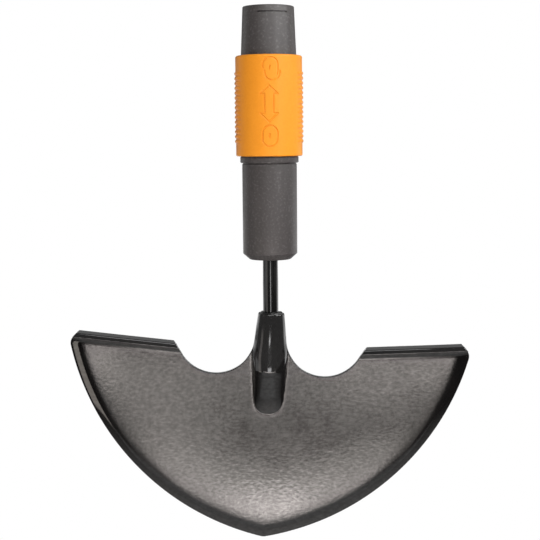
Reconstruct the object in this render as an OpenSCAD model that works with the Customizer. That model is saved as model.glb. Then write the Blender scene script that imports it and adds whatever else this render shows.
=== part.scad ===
// Half moon edger head with a quick-fit handle socket.
// Millimetres. +Z runs up the socket and out of its mouth, and the front faces -Y.
// The origin is on the socket's axis where the straight bore starts, below the lead-in.

/* [Blade] */
// Width of the blade across its two corners
blade_w = 225; // [190:0.5:250]
// Height from the widest level down to the tip
blade_drop = 109.6; // [98:0.1:118]
// Radius of each of the two cutting arcs
arc_r = 145; // [125:1:200]
// Thickness of the pressed sheet
sheet_t = 3; // [2:0.1:3.6]
// Width of the ground bevel along the cutting arcs
bevel_w = 4.8; // [2:0.1:9]
// Thickness left at the cutting edge
edge_t = 0.7; // [0.3:0.1:1.5]
// Turn of the blade out of line with the socket's axis, in degrees
blade_skew = 2.6; // [0:0.1:3]
// Depth from the neck's mouth to the widest level
wide_depth = 19.6; // [18:0.1:26]

/* [Treads] */
// Distance between the inner ends of the two treads
tread_span = 108.4; // [80:0.1:130]
// Fall of each tread from its outer to its inner end
tread_fall = 3.7; // [0:0.1:6]
// Depth of the folded tread, front to back
tread_depth = 15; // [8:0.5:18]
// Inner radius of the tread's fold
fold_r = 1.5; // [0.5:0.1:3]
// Cut of the corner, along the width
corner_in = 5.5; // [2:0.1:8]
// Cut of the corner, along the height
corner_rise = 6.4; // [3:0.1:8]
// Radius of the scallop between the neck and a tread
scallop_r = 22; // [16:0.1:22.6]
// Depth from the neck's mouth to the scallop's centre
scallop_depth = 13.8; // [11:0.1:15]

/* [Neck and boss] */
// Radius of the neck at its mouth
neck_r = 7.6; // [7.4:0.1:8.8]
// Largest radius of the boss
boss_r = 10; // [9.4:0.1:11]
// Depth from the neck's mouth to the boss's widest place
boss_depth = 24.6; // [20:0.1:28]
// Radius of the boss's round nose
nose_r = 8; // [7.4:0.1:9]
// Depth from the neck's mouth to the nose's centre
nose_depth = 47.4; // [45:0.1:54]
// Length of the neck that is rolled into a closed tube
neck_len = 16; // [12:0.5:20]
// Width of the seam at the back of the neck
seam_w = 1.2; // [0.5:0.1:2]

/* [Tang] */
// Diameter of the rod
tang_d = 8.6; // [8:0.1:9.2]
// Length of rod that shows between the housing and the neck
tang_bare = 30.6; // [15:0.1:60]
// Depth of the rod in the neck
tang_sunk = 42; // [34:0.5:44]
// Distance across the two flats that key the rod
tang_flats = 6.6; // [6.2:0.1:7.4]
// Length of the keyed stretch
tang_key_len = 20; // [12:1:26]
// Diameter of the threaded stud on the rod's upper end
stud_d = 6; // [5:0.5:6]
// Thickness of the clamp disc under the nut's washer
clamp_t = 3.5; // [2:0.1:5]
// Distance across the flats of the nut
nut_flats = 10; // [9:0.5:11]
// Height of the nut
nut_h = 5; // [4:0.5:6]
// Thickness of the washer under the nut
nut_washer_t = 1.2; // [0.8:0.1:2]
// Diameter of that washer
nut_washer_d = 14; // [12:0.5:18]

/* [Housing] */
// Diameter of the housing
housing_d = 30.4; // [29.6:0.1:31.6]
// Length of the housing below its flange
housing_len = 53.6; // [48:0.1:70]
// Diameter of the stop flange
flange_d = 32.4; // [31.8:0.1:36]
// Height of the stop flange
flange_h = 3.65; // [2.5:0.05:5]
// Cut of the housing's lower end, along the radius
end_cut_r = 3.7; // [1:0.1:5]
// Cut of the housing's lower end, along the height
end_cut_h = 3.3; // [1:0.1:6]

/* [Socket tube] */
// Diameter of the bore that guides the handle
bore_d = 23.5; // [22.5:0.1:24]
// Length of the guide bore
bore_len = 46; // [40:0.5:50]
// Diameter of the narrower bore below it
pilot_d = 21.5; // [20.5:0.1:22]
// Width of the ledge that carries the clamp disc
ledge_w = 0.9; // [0.6:0.1:2]
// Height of that ledge
ledge_h = 3; // [2:0.1:5]
// Height of the lead-in above the guide bore
lead_in = 1; // [0.5:0.1:2]
// Outer diameter at the mouth
mouth_d = 28.35; // [27.6:0.05:30]
// Cut of the mouth's outer edge
mouth_cut = 0.5; // [0.2:0.1:0.8]
// Outer diameter where the collar's lip runs
land_d = 30.6; // [30.4:0.1:31]
// Diameter of the spigot that sits in the housing
spigot_d = 24.6; // [23.6:0.1:25.4]
// Length of the spigot
spigot_len = 9.6; // [6:0.1:14]
// Width of the key on the spigot
spigot_key_w = 4; // [2:0.5:6]
// Height of the key on the spigot
spigot_key_h = 1.2; // [0.6:0.1:1.6]
// Width of the keyway for the handle
keyway_w = 5; // [3:0.5:6]
// Depth of the keyway for the handle
keyway_h = 1; // [0.6:0.1:1.2]
// Depth of the grooves near the mouth, below the bore's start
groove_depth = 3.8; // [1.8:0.1:8]
// Height of the mouth grooves
groove_h = 0.85; // [0.5:0.05:2]
// Sink of the mouth grooves
groove_sink = 0.8; // [0.3:0.1:1]
// Arc of each mouth groove, in degrees
groove_arc = 69; // [30:1:80]
// Angle from +X at which the first mouth groove starts
groove_start = -115; // [-180:1:180]

/* [Collar] */
// Diameter of the collar
collar_d = 36.85; // [36.4:0.05:40]
// Length of the collar
collar_len = 55; // [53:0.1:60]
// Depth of the collar's top below the bore's start
collar_depth = 25.7; // [23:0.1:29]
// Height of the lip at the collar's top
lip_h = 5; // [3:0.5:6]
// Rounding of the collar's outer edges
collar_round = 1.1; // [0.4:0.1:1.4]
// Number of grip ribs on each side
rib_count = 15; // [9:1:17]
// Distance from one rib to the next
rib_pitch = 2.65; // [2.3:0.05:2.9]
// Height by which the ribs stand out
rib_proud = 0.8; // [0.3:0.1:1.2]
// Radius of a rib's round
rib_r = 1.1; // [0.8:0.05:1.3]
// Arc of a rib round each side, in degrees
rib_arc = 56; // [30:1:80]
// Depth from the collar's top to the first rib
rib_depth = 9.7; // [5:0.1:12]

/* [Lock] */
// Travel of the collar from locked to open
travel = 10; // [6:0.5:10.5]
// Diameter of a lock ball
ball_d = 5; // [4.6:0.1:5]
// Height by which a locked ball stands into the pilot bore
ball_proud = 1.2; // [0.8:0.1:1.2]
// Depth of the balls below the bore's start
ball_depth = 58; // [55:0.5:60]
// Wall of the cam ring at its thin end
cam_wall = 0.85; // [0.6:0.05:1.2]
// Thickness of the spring's washer
spring_washer_t = 1; // [0.6:0.1:2]
// Wire of the spring
wire_d = 1.4; // [1:0.1:1.6]
// Turns of the spring
spring_turns = 6; // [4:1:7]
// Width of the two keys in the collar's bush
bush_key_w = 4; // [3:0.5:6]
// Height of those keys
bush_key_h = 1; // [0.6:0.1:1.2]

/* [Clearances] */
// Gap between sliding round faces
run_gap = 0.2; // [0.1:0.05:0.25]
// Gap round a ball in its hole and at the cam
ball_gap = 0.1; // [0.05:0.01:0.15]
// Gap between pieces that are put together
fit_gap = 0.1; // [0.05:0.01:0.15]
// Gap between the collar and its stop
stop_gap = 0.1; // [0.05:0.01:0.2]

/* [Hidden] */
$fn = 96;

// Overlap that lets a cut pass clear through a face
past = 1;
// Room left at the ends of a travel, and over the top of the stud
end_room = 1;

// Levels along the socket, from the mouth down
step_z = -collar_depth - lip_h - end_room;
collar_top = -collar_depth;
collar_end = collar_top - collar_len;
ball_z = -ball_depth;
flange_top = collar_end - stop_gap;
flange_end = flange_top - flange_h;
housing_end = flange_end - housing_len;
spigot_end = flange_top - spigot_len;
recess_end = spigot_end - fit_gap;
neck_z = housing_end - tang_bare;
ledge_z = spigot_end + ledge_h;
floor_z = ledge_z + clamp_t;
nut_z = floor_z + nut_washer_t;
stud_top = nut_z + nut_h + end_room;

// The keyed stretch of the tang sits half way between the recess and the housing's end
key_top = (recess_end + housing_end + tang_key_len) / 2;
key_end = key_top - tang_key_len;

// Ball lock: the cam's cone keeps the same gap to a ball over the whole travel
ball_r = ball_d / 2;
ball_seat = pilot_d / 2 - ball_proud + ball_r;
cam_slope = ball_proud / travel;
cam_r = ball_seat + (ball_r + ball_gap) * sqrt(1 + cam_slope * cam_slope);
cam_lead = 2;
cam_top = ball_z + cam_lead;
cam_end = ball_z - travel - end_room;
cam_top_r = cam_r - cam_slope * cam_lead;
cam_end_r = cam_r + cam_slope * (ball_z - cam_end);
bush_top = cam_end - ball_r;
ball_angles = [0, 90, 180, 270];
bush_key_angles = [45, 225];
tube_r = cam_top_r - run_gap;
collar_bore_r = cam_end_r + cam_wall;
bush_r = tube_r + run_gap;
keyway_top = bush_top + travel + end_room;

// Spring between its washer and the cam ring
spring_r = (tube_r + collar_bore_r) / 2;
spring_top = step_z - spring_washer_t - wire_d / 2 - fit_gap;
spring_end = cam_top + wire_d / 2 + fit_gap;
spring_rings = 16;
spring_sides = 6;

// Blade outline, with x across and y up from the neck's mouth
half_w = blade_w / 2;
tip = [0, -wide_depth - blade_drop];
chord = norm([half_w, blade_drop]);
tip_slope = atan2(blade_drop, half_w) - asin(chord / 2 / arc_r);
arc_centre = tip + arc_r * [-sin(tip_slope), cos(tip_slope)];
corner = [half_w, -wide_depth];
tread_out = corner + [-corner_in, corner_rise];
tread_in = [tread_span / 2, tread_out.y - tread_fall];
tread_slope = atan2(tread_fall, tread_out.x - tread_in.x);
tread_len = norm(tread_out - tread_in);
fold_out = sheet_t + fold_r;

// The scallop is tangent to the boss's side, and a straight edge leads from it to the tread
scallop_side = boss_side(scallop_depth);
scallop_room = (tread_in.x - scallop_side) / 2;
scallop_arc = min(scallop_r, scallop_room);
scallop = [scallop_side + scallop_arc, -scallop_depth];
to_tread = tread_in - scallop;
leave_angle = atan2(to_tread.y, to_tread.x) - acos(scallop_arc / norm(to_tread));
leave = scallop + scallop_arc * [cos(leave_angle), sin(leave_angle)];
from_scallop = tread_in.x - scallop.x;
above = 2 * arc_r;

// Neck hollow and weld
mouth_hollow = tang_d / 2 + 2.5 * fit_gap;
boss_hollow = boss_r - sheet_t;
nose_hollow = nose_r - sheet_t;
weld_r = 1.5;
weld_out = 1.05;
weld_rise = 0.4;
tang_point_len = 12;
tang_point_r = 2.4;
toe_r = 4.4;

// Radius of the boss's outside at a depth above its widest place
function boss_side(depth) = neck_r + (boss_r - neck_r) * depth / boss_depth;

// Point on the spring's centre line at a share of its length
function spring_point(t) = [
    spring_r * cos(360 * spring_turns * t),
    spring_r * sin(360 * spring_turns * t),
    spring_top + (spring_end - spring_top) * t];

// Ring of points round the spring's wire
function spring_ring(t) = let (
    turn = 360 * spring_turns * t,
    out = [cos(turn), sin(turn), 0],
    rise = (spring_end - spring_top) / (2 * PI * spring_turns * spring_r),
    along = [-sin(turn), cos(turn), rise] / sqrt(1 + rise * rise),
    up = cross(along, out))
    [for (k = [0 : spring_sides - 1]) let (a = 360 * k / spring_sides)
        spring_point(t) + wire_d / 2 * (cos(a) * out + sin(a) * up)];

spring_steps = spring_turns * spring_rings;
spring_line = [for (i = [0 : spring_steps]) spring_point(i / spring_steps)];
spring_gap = min([for (i = [0 : spring_steps - spring_rings / 2])
    for (j = [i + spring_rings / 2 : spring_steps]) norm(spring_line[i] - spring_line[j])]) - wire_d;
echo(spring_gap = spring_gap);

// Places its children in the blade's own frame: x across, y up, z to the front
module in_blade_frame() {
    translate([0, 0, neck_z]) rotate([0, blade_skew, 0]) rotate([90, 0, 0]) children();
}

// Disc that carries one cutting arc, with its bevel towards the front
module arc_disc(side) {
    translate([side * arc_centre.x, arc_centre.y, 0]) {
        cylinder(r = arc_r, h = edge_t, $fn = 360);
        translate([0, 0, edge_t])
            cylinder(r1 = arc_r, r2 = arc_r - bevel_w, h = sheet_t - edge_t, $fn = 360);
    }
}

// What the scallop and the space above the web take away on one side
module scallop_outline() {
    ahead = tread_in + (tread_in - leave);
    translate(scallop) circle(r = scallop_arc);
    polygon([[-past, -scallop_depth], scallop, leave, ahead, [ahead.x, above], [-past, above]]);
}

// What the cut corner takes away on one side
module corner_outline() {
    run = (tread_out - corner);
    polygon([corner - run, tread_out + run, [half_w, above], [blade_w, above], [blade_w, -above]]);
}

// What lies above the line where the tread's fold starts
module fold_outline() {
    translate(tread_in) rotate(tread_slope)
        translate([-from_scallop, -fold_out]) square([from_scallop + 2 * tread_len, above]);
}

// Section of the fold and the tread, with x up and y to the front
module tread_section() {
    difference() {
        intersection() {
            translate([-fold_out, fold_out]) circle(r = fold_out);
            translate([-fold_out, 0]) square(fold_out);
        }
        translate([-fold_out, fold_out]) circle(r = fold_r);
    }
    translate([-sheet_t, fold_out]) square([sheet_t, tread_depth - fold_out]);
}

module wing(side) {
    mirror([side < 0 ? 1 : 0, 0, 0]) difference() {
        translate([tread_in.x, tread_in.y, 0]) rotate(tread_slope)
            translate([-from_scallop, 0, 0]) rotate([90, 0, 90])
                linear_extrude(from_scallop + 2 * tread_len) tread_section();
        translate([0, 0, -past]) linear_extrude(tread_depth + 2 * past) {
            scallop_outline();
            corner_outline();
        }
    }
}

module plate() {
    difference() {
        intersection() {
            arc_disc(1);
            arc_disc(-1);
        }
        for (side = [0, 1]) mirror([side, 0, 0])
            translate([0, 0, -past]) linear_extrude(sheet_t + 2 * past) {
                scallop_outline();
                corner_outline();
                fold_outline();
            }
    }
}

// Body of revolution of the neck and the boss, about the neck's axis
module boss_form(mouth, widest, nose, head) {
    rotate([-90, 0, 0]) rotate_extrude() {
        polygon([
            [0, head], [mouth, head], [mouth, 0],
            [widest, -boss_depth], [nose, -nose_depth], [0, -nose_depth]]);
        intersection() {
            translate([0, -nose_depth]) circle(r = nose);
            translate([0, -nose_depth - nose]) square(nose);
        }
    }
}

module blade() {
    reach = nose_depth + 2 * nose_r;
    color("#202022") in_blade_frame() difference() {
        union() {
            plate();
            wing(1);
            wing(-1);
            intersection() {
                boss_form(neck_r, boss_r, nose_r, 0);
                union() {
                    translate([-boss_r, -reach, 0]) cube([2 * boss_r, reach, boss_r]);
                    translate([-boss_r, -neck_len, -boss_r]) cube([2 * boss_r, neck_len, 2 * boss_r]);
                }
            }
        }
        boss_form(mouth_hollow, boss_hollow, nose_hollow, past);
        translate([-seam_w / 2, -neck_len - past, -boss_r - past])
            cube([seam_w, neck_len + 2 * past, boss_r + past]);
    }
}

module tang_rod() {
    tang_end = neck_z - tang_sunk;
    color("#151517") {
        translate([0, 0, key_top - past]) cylinder(d = stud_d, h = stud_top - key_top + past);
        intersection() {
            translate([0, 0, key_end - past]) cylinder(d = tang_d, h = tang_key_len + past);
            translate([-tang_d, -tang_flats / 2, key_end - past])
                cube([2 * tang_d, tang_flats, tang_key_len + past]);
        }
        translate([0, 0, tang_end + tang_point_len])
            cylinder(d = tang_d, h = key_end - tang_end - tang_point_len);
        translate([0, 0, tang_end])
            cylinder(r1 = tang_point_r, d2 = tang_d, h = tang_point_len);
    }
}

module weld_beads() {
    color("#2a2a2c") {
        in_blade_frame() rotate([-90, 0, 0]) difference() {
            rotate_extrude() translate([tang_d / 2 + weld_out, weld_rise]) circle(r = weld_r, $fn = 32);
            cylinder(d = tang_d - 2 * fit_gap, h = 4 * weld_r, center = true);
        }
        translate([0, -toe_r / 2, neck_z - tang_sunk]) sphere(r = toe_r, $fn = 48);
    }
}

module tang_housing() {
    recess_h = flange_top - recess_end + past;
    color("#4a4a4b") difference() {
        rotate_extrude() polygon([
            [0, flange_top], [flange_d / 2, flange_top], [flange_d / 2, flange_end],
            [housing_d / 2, flange_end], [housing_d / 2, housing_end + end_cut_h],
            [housing_d / 2 - end_cut_r, housing_end], [0, housing_end]]);
        translate([0, 0, recess_end]) cylinder(r = spigot_d / 2 + fit_gap, h = recess_h);
        translate([0, -spigot_key_w / 2 - fit_gap, recess_end])
            cube([spigot_d / 2 + spigot_key_h + fit_gap, spigot_key_w + 2 * fit_gap, recess_h]);
        translate([0, 0, key_top]) cylinder(r = stud_d / 2 + fit_gap, h = recess_end - key_top + past);
        intersection() {
            translate([0, 0, key_end - past])
                cylinder(r = tang_d / 2 + fit_gap, h = tang_key_len + past + fit_gap);
            translate([-tang_d, -tang_flats / 2 - fit_gap, key_end - past])
                cube([2 * tang_d, tang_flats + 2 * fit_gap, tang_key_len + past + fit_gap]);
        }
        translate([0, 0, housing_end - past])
            cylinder(r = tang_d / 2 + fit_gap, h = key_end - housing_end + past);
    }
}

// Tapered hole for one ball, along +X, with a lip at the pilot bore that keeps the ball in
module ball_hole() {
    seat = ball_seat - 3 * ball_gap;
    lip_r = ball_r - 2.5 * ball_gap;
    inside = pilot_d / 2 - 2 * ball_gap;
    translate([inside, 0, ball_z]) rotate([0, 90, 0]) {
        cylinder(r1 = lip_r, r2 = ball_r + ball_gap, h = seat - inside);
        translate([0, 0, seat - inside]) cylinder(r = ball_r + ball_gap, h = tube_r - seat + past);
    }
}

module lock_tube() {
    color("#4a4a4b") difference() {
        union() {
            rotate_extrude() polygon([
                [0, lead_in], [mouth_d / 2 - mouth_cut, lead_in], [mouth_d / 2, lead_in - mouth_cut],
                [land_d / 2, collar_top], [land_d / 2, step_z], [tube_r, step_z], [tube_r, flange_top],
                [spigot_d / 2, flange_top], [spigot_d / 2, spigot_end], [0, spigot_end]]);
            translate([0, -spigot_key_w / 2, spigot_end])
                cube([spigot_d / 2 + spigot_key_h, spigot_key_w, flange_top - spigot_end + past]);
        }
        cylinder(r1 = bore_d / 2, r2 = bore_d / 2 + lead_in, h = lead_in);
        translate([0, 0, -bore_len]) cylinder(d = bore_d, h = bore_len);
        translate([0, 0, ledge_z]) cylinder(d = pilot_d, h = -bore_len - ledge_z);
        translate([0, 0, spigot_end - past]) cylinder(r = pilot_d / 2 - ledge_w, h = ledge_h + 2 * past);
        translate([-keyway_w / 2, 0, -bore_len])
            cube([keyway_w, bore_d / 2 + keyway_h, bore_len + lead_in + past]);
        for (a = ball_angles) rotate(a) ball_hole();
        for (a = bush_key_angles) rotate(a)
            translate([bush_r - bush_key_h - 2 * run_gap, -bush_key_w / 2 - run_gap, flange_top - past])
                cube([tube_r, bush_key_w + 2 * run_gap, keyway_top - flange_top + past]);
        for (a = ball_angles) rotate(a + groove_start) rotate_extrude(angle = groove_arc)
            translate([mouth_d / 2 - groove_sink, -groove_depth - groove_h / 2]) square([mouth_d, groove_h]);
    }
}

module clamp_disc() {
    color("silver") translate([0, 0, ledge_z]) difference() {
        cylinder(r = pilot_d / 2 - fit_gap, h = clamp_t);
        translate([0, 0, -past]) cylinder(r = stud_d / 2 + fit_gap, h = clamp_t + 2 * past);
    }
}

module tang_washer() {
    color("silver") translate([0, 0, floor_z]) difference() {
        cylinder(d = nut_washer_d, h = nut_washer_t);
        translate([0, 0, -past]) cylinder(r = stud_d / 2 + fit_gap, h = nut_washer_t + 2 * past);
    }
}

module tang_nut() {
    color("silver") translate([0, 0, nut_z]) difference() {
        cylinder(d = nut_flats / cos(30), h = nut_h, $fn = 6);
        translate([0, 0, -past]) cylinder(r = stud_d / 2 + fit_gap, h = nut_h + 2 * past);
    }
}

module spring_washer() {
    color("silver") translate([0, 0, step_z - spring_washer_t]) difference() {
        cylinder(r = collar_bore_r - 1.5 * run_gap, h = spring_washer_t);
        translate([0, 0, -past]) cylinder(r = tube_r + fit_gap, h = spring_washer_t + 2 * past);
    }
}

module collar_spring() {
    points = [for (i = [0 : spring_steps]) each spring_ring(i / spring_steps)];
    last = spring_steps * spring_sides;
    walls = [for (i = [0 : spring_steps - 1]) for (k = [0 : spring_sides - 1]) let (
        a = i * spring_sides + k,
        b = i * spring_sides + (k + 1) % spring_sides)
        each [[a, b, b + spring_sides], [a, b + spring_sides, a + spring_sides]]];
    first_end = [for (k = [1 : spring_sides - 2]) [0, k + 1, k]];
    last_end = [for (k = [1 : spring_sides - 2]) [last, last + k, last + k + 1]];
    color("lightsteelblue") polyhedron(points, concat(walls, first_end, last_end));
}

// One grip rib, centred on +X
module rib(z) {
    rotate(-rib_arc / 2) rotate_extrude(angle = rib_arc)
        translate([collar_d / 2 + rib_proud - rib_r, z]) circle(r = rib_r, $fn = 32);
}

module lock_collar() {
    color("#ef8f2b") difference() {
        union() {
            rotate_extrude() {
                translate([0, collar_end + collar_round])
                    square([collar_d / 2, collar_len - 2 * collar_round]);
                translate([0, collar_end]) square([collar_d / 2 - collar_round, collar_len]);
                for (z = [collar_end + collar_round, collar_top - collar_round])
                    translate([collar_d / 2 - collar_round, z]) circle(r = collar_round, $fn = 32);
            }
            for (side = [0, 180], i = [0 : rib_count - 1])
                rotate(side) rib(collar_top - rib_depth - i * rib_pitch);
        }
        translate([0, 0, collar_end - past]) cylinder(r = collar_bore_r, h = collar_len - lip_h + past);
        translate([0, 0, collar_end - past]) cylinder(r = land_d / 2 + run_gap, h = collar_len + 2 * past);
    }
}

module cam_ring() {
    color("silver") difference() {
        translate([0, 0, bush_top]) cylinder(r = collar_bore_r, h = cam_top - bush_top);
        translate([0, 0, cam_end]) cylinder(r1 = cam_end_r, r2 = cam_top_r, h = cam_top - cam_end);
        translate([0, 0, bush_top - past]) cylinder(r = cam_end_r, h = cam_end - bush_top + past);
    }
}

module collar_bush() {
    color("#d8d6cf") {
        difference() {
            translate([0, 0, collar_end]) cylinder(r = collar_bore_r, h = bush_top - collar_end);
            translate([0, 0, collar_end - past]) cylinder(r = bush_r, h = bush_top - collar_end + 2 * past);
        }
        for (a = bush_key_angles) rotate(a) intersection() {
            translate([bush_r - bush_key_h, -bush_key_w / 2, collar_end])
                cube([bush_key_h + past, bush_key_w, bush_top - collar_end]);
            translate([0, 0, collar_end]) cylinder(r = collar_bore_r, h = bush_top - collar_end);
        }
    }
}

module lock_ball(angle) {
    color("gainsboro") rotate(angle) translate([ball_seat, 0, ball_z]) sphere(d = ball_d);
}

blade();
tang_rod();
weld_beads();
tang_housing();
lock_tube();
clamp_disc();
tang_washer();
tang_nut();
spring_washer();
collar_spring();
lock_collar();
cam_ring();
collar_bush();
lock_ball(ball_angles[0]);  // lock_ball_1
lock_ball(ball_angles[1]);  // lock_ball_2
lock_ball(ball_angles[2]);  // lock_ball_3
lock_ball(ball_angles[3]);  // lock_ball_4
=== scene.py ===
"""Half moon edger head: modelled pieces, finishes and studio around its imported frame.

Lengths are millimetres in the classes and become metres when a mesh is made. The blade has a frame
of its own: u runs across, w runs up from the neck's mouth and f runs to the front.
"""

import logging
import math
from dataclasses import dataclass
from enum import Enum
from typing import Callable, Optional, Sequence, Union

import bmesh
import bpy
import numpy as np
from mathutils import Matrix, Vector


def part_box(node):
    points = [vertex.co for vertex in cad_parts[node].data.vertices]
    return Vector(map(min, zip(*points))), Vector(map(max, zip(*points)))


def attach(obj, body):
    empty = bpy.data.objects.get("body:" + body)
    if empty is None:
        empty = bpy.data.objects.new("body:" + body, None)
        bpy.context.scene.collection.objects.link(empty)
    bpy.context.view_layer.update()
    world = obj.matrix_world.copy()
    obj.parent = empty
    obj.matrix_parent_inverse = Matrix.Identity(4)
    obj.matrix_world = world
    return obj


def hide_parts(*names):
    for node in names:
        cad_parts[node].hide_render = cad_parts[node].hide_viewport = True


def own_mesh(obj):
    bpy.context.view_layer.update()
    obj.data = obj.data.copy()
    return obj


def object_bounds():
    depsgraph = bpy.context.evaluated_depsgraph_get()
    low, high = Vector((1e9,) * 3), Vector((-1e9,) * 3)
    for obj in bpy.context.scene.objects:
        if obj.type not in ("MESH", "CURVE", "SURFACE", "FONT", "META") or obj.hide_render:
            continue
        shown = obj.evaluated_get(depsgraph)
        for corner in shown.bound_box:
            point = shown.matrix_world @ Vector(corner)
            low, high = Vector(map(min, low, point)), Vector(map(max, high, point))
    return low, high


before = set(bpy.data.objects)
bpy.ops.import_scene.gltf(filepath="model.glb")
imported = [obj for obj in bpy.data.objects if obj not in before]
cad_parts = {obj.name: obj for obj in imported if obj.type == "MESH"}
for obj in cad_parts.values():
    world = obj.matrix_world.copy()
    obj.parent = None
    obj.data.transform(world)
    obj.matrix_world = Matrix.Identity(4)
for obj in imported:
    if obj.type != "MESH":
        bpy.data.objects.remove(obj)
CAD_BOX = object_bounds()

Pair = tuple[float, float]
Triple = tuple[float, float, float]
Outline = list[Pair]
Grid = np.ndarray
Field = Callable[[Grid, Grid, Grid], Grid]
Piece = bpy.types.Object
Material = bpy.types.Material
Plug = bpy.types.NodeSocket

LOG = logging.getLogger("edger")
MM = 0.001
# Mesh attribute that masks the blade's orange peel and the painted shade in its coat's colour: 1 on
# the flats, 0 round the boss, under the treads and along the edge.
PEEL_AND_SHADE = "peel"
WHITE = (1, 1, 1, 1)
NOISE_REACH = (0.3, 0.7)
UNIT = (0.0, 1.0)
MERGE_M = 1e-7
CARVE_SHARP = 30.0
MOST_TRIM = 0.49
PROBE = 0.04
NET_PASSES = 7
LEAST_GRADE = 0.05
GUARD = 1e-4
LONGEST_PUSH = 0.6


class Body(Enum):
    """Bodies of the frame that new pieces ride on."""

    HEAD = "head"
    COLLAR = "collar"


class Slot(Enum):
    """Material slots of the record."""

    BLADE = "blade_coat"
    ROD = "rod_coat"
    GREY = "grey_plastic"
    ORANGE = "orange_plastic"
    PLATED = "plated_steel"


class Op(Enum):
    """Operations on two values in a node tree."""

    ADD = "ADD"
    MULTIPLY = "MULTIPLY"
    MAXIMUM = "MAXIMUM"


class Run(Enum):
    """How a mapped value runs between its ends."""

    STRAIGHT = "LINEAR"
    SOFT = "SMOOTHSTEP"


# Mesh tools


def smooth_max(a: Grid, b: Grid, k: float) -> Grid:
    """Larger of two distances, with the corner between them rounded over a reach of k."""
    return np.maximum(a, b) + np.maximum(k - np.abs(a - b), 0) ** 2 / (4 * k)


def smooth_min(a: Grid, b: Grid, k: float) -> Grid:
    """Smaller of two distances, with the inner corner between them filled over a reach of k."""
    return -smooth_max(-a, -b, k)


def ease(value: Grid, start: float, end: float) -> Grid:
    """Soft step from 0 at start to 1 at end."""
    t = np.clip((value - start) / (end - start), 0, 1)
    return t * t * (3 - 2 * t)


def full_turn(count: int) -> Grid:
    """Evenly spaced angles round a full turn."""
    return np.linspace(0, 2 * np.pi, count, endpoint=False)


def ripple(theta: Grid, size: float, count: int, phase: float = 0.0) -> Grid:
    """Wave of a size with a count of crests in a full turn."""
    return size * np.sin(count * theta + phase)


def polar(radius: Grid, theta: Grid, height: Grid) -> Grid:
    """Rows of points from radius, angle and height."""
    sides = np.broadcast_arrays(radius * np.cos(theta), radius * np.sin(theta), height)
    return np.stack(sides, -1).reshape(-1, 3)


def spun(x: Grid, y: Grid, angle: float) -> tuple[Grid, Grid]:
    """Two coordinates turned about the origin by an angle in radians."""
    cos, sin = math.cos(angle), math.sin(angle)
    return x * cos - y * sin, x * sin + y * cos


def curve(value: Grid, knots: Sequence[Pair]) -> Grid:
    """Smooth curve through knots.

    Args:
        value: Where the curve is read.
        knots: Pairs of place and height, in rising order of place.

    Returns:
        The curve's height at each value.
    """
    x, y = np.array(knots, dtype=np.float64).T
    slope = np.gradient(y, x)
    at = np.clip(value, x[0], x[-1])
    i = np.clip(np.searchsorted(x, at, side="right") - 1, 0, len(x) - 2)
    span = x[i + 1] - x[i]
    t = (at - x[i]) / span
    start = (1 + 2 * t) * (1 - t) ** 2 * y[i] + t * (1 - t) ** 2 * span * slope[i]
    end = t * t * (3 - 2 * t) * y[i + 1] + t * t * (t - 1) * span * slope[i + 1]
    return start + end


def polygon_distance(points: Sequence[Pair], x: Grid, y: Grid) -> Grid:
    """Distance to a polygon's outline.

    Args:
        points: The polygon's corners in order.
        x: First coordinate of each place.
        y: Second coordinate of each place.

    Returns:
        The distance, negative inside.
    """
    best = np.full(x.shape, np.inf)
    inside = np.zeros(x.shape, bool)
    for (ax, ay), (bx, by) in zip(points, list(points[1:]) + [points[0]]):
        ex, ey = bx - ax, by - ay
        px, py = x - ax, y - ay
        t = np.clip((px * ex + py * ey) / (ex * ex + ey * ey), 0, 1)
        best = np.minimum(best, np.hypot(px - t * ex, py - t * ey))
        if ey != 0:
            inside ^= ((ay > y) != (by > y)) & (px < ex * py / ey)
    return np.where(inside, -best, best)


def rounded(corners: Sequence[Triple], steps: int = 5) -> Outline:
    """Outline whose corners are arcs.

    Args:
        corners: Radius, height and rounding of each corner, in order round the outline.
        steps: Straight pieces in each arc.

    Returns:
        The outline's points.
    """
    points: Outline = []
    for i, (x, y, reach) in enumerate(corners):
        here = Vector((x, y))
        back = Vector(corners[i - 1][:2]) - here
        ahead = Vector(corners[(i + 1) % len(corners)][:2]) - here
        if reach <= 0:
            points.append((x, y))
            continue
        half = back.angle(ahead) / 2
        trim = min(reach / math.tan(half), MOST_TRIM * back.length, MOST_TRIM * ahead.length)
        back.normalize()
        ahead.normalize()
        radius = trim * math.tan(half)
        centre = here + (back + ahead).normalized() * radius / math.sin(half)
        first = here + back * trim - centre
        sweep = first.angle_signed(here + ahead * trim - centre)
        for step in range(steps + 1):
            dx, dy = spun(first.x, first.y, -sweep * step / steps)
            points.append((centre.x + dx, centre.y + dy))
    return points


def grid_faces(rows: int, columns: int, wrap_rows: bool = True) -> list[list[int]]:
    """Quads of a grid of points whose last column joins its first.

    Args:
        rows: Number of rows.
        columns: Number of points in a row.
        wrap_rows: Whether the last row joins the first.

    Returns:
        The quads as lists of point numbers.
    """
    first_rows = np.arange(rows if wrap_rows else rows - 1)
    i, j = np.meshgrid(first_rows, np.arange(columns), indexing="ij")
    here, below, right = i * columns, (i + 1) % rows * columns, (j + 1) % columns
    quads = np.stack((here + j, here + right, below + right, below + j), -1)
    return quads.reshape(-1, 4).tolist()


def capped_faces(rows: int, columns: int) -> list[list[int]]:
    """Quads of an open grid of points, with a face over its first and its last row.

    Args:
        rows: Number of rows.
        columns: Number of points in a row.

    Returns:
        The faces as lists of point numbers.
    """
    last = (rows - 1) * columns
    caps = [list(range(columns)), list(range(last, last + columns))]
    return grid_faces(rows, columns, False) + caps


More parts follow.
